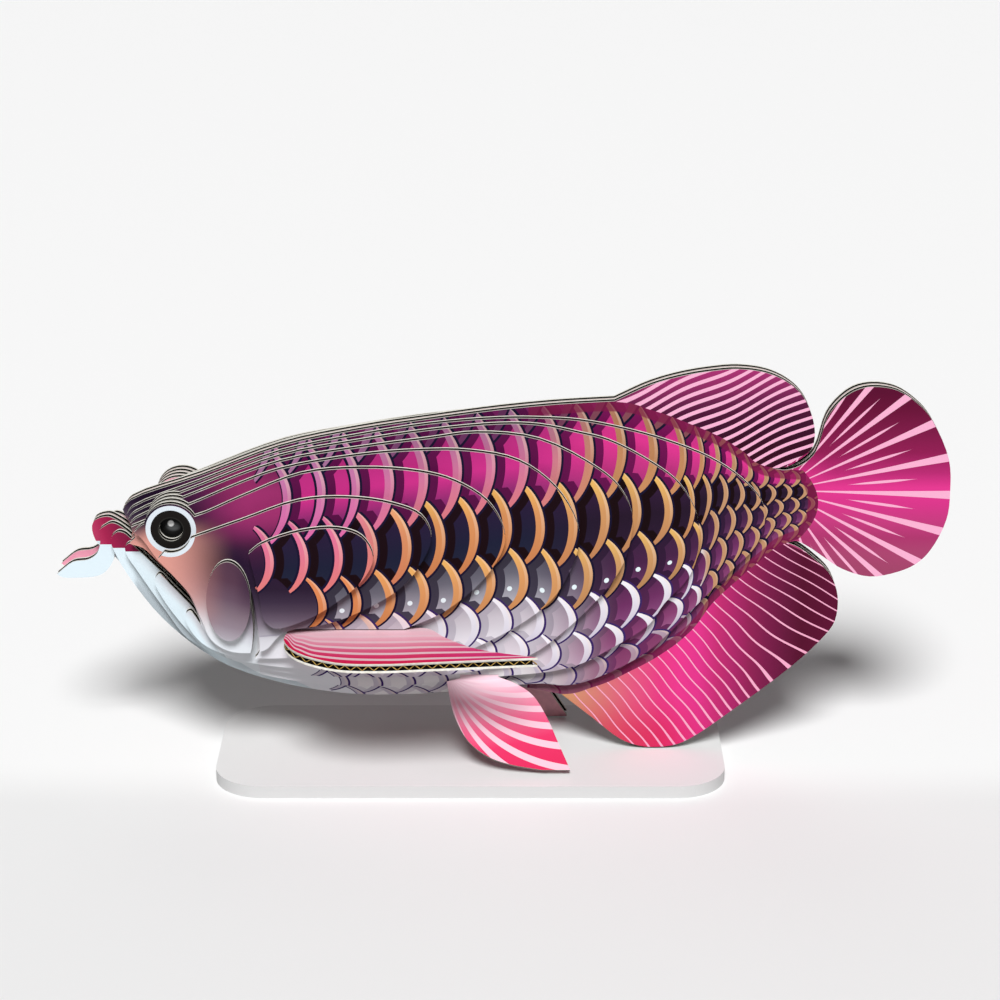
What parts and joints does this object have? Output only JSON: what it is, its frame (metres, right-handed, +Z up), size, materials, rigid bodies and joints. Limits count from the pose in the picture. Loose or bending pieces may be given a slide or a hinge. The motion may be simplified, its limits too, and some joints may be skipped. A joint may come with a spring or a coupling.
{
  "type": "layered cardboard asian arowana model",
  "caption": "Fish model built up from upright sheets of printed corrugated card, with slotted-in side fins, on a thin base plate.",
  "frame": {"origin": "middle of the fish's length and width, at the underside of the base plate", "axes": "+X toward the tail, +Y toward the fish's right flank, +Z up"},
  "size_m": [0.1386, 0.0464, 0.065],
  "materials": {
    "printed_card": "four-colour printed white liner with a satin varnish, brown fluted core on the cut edges",
    "face_card": "printed white liner with a satin varnish, brown fluted core on the cut edges",
    "fin_card": "printed white liner with a satin varnish, brown fluted core on the cut edges",
    "base_plate": "plain white sheet with polished edges"
  },
  "bodies": {
    "root": {"sheet_0_left": "printed_card", "sheet_1_left": "printed_card", "sheet_2_left": "printed_card", "sheet_3_left": "printed_card", "sheet_4_left": "printed_card", "sheet_5_left": "printed_card", "sheet_6_left": "printed_card", "sheet_7_left": "printed_card", "gill_cover_left": "face_card", "pectoral_fin_left": "fin_card", "pelvic_fin_left": "fin_card", "sheet_0_right": "printed_card", "sheet_1_right": "printed_card", "sheet_2_right": "printed_card", "sheet_3_right": "printed_card", "sheet_4_right": "printed_card", "sheet_5_right": "printed_card", "sheet_6_right": "printed_card", "sheet_7_right": "printed_card", "gill_cover_right": "face_card", "pectoral_fin_right": "fin_card", "pelvic_fin_right": "fin_card", "stand_base": "base_plate"}
  },
  "joints": []
}
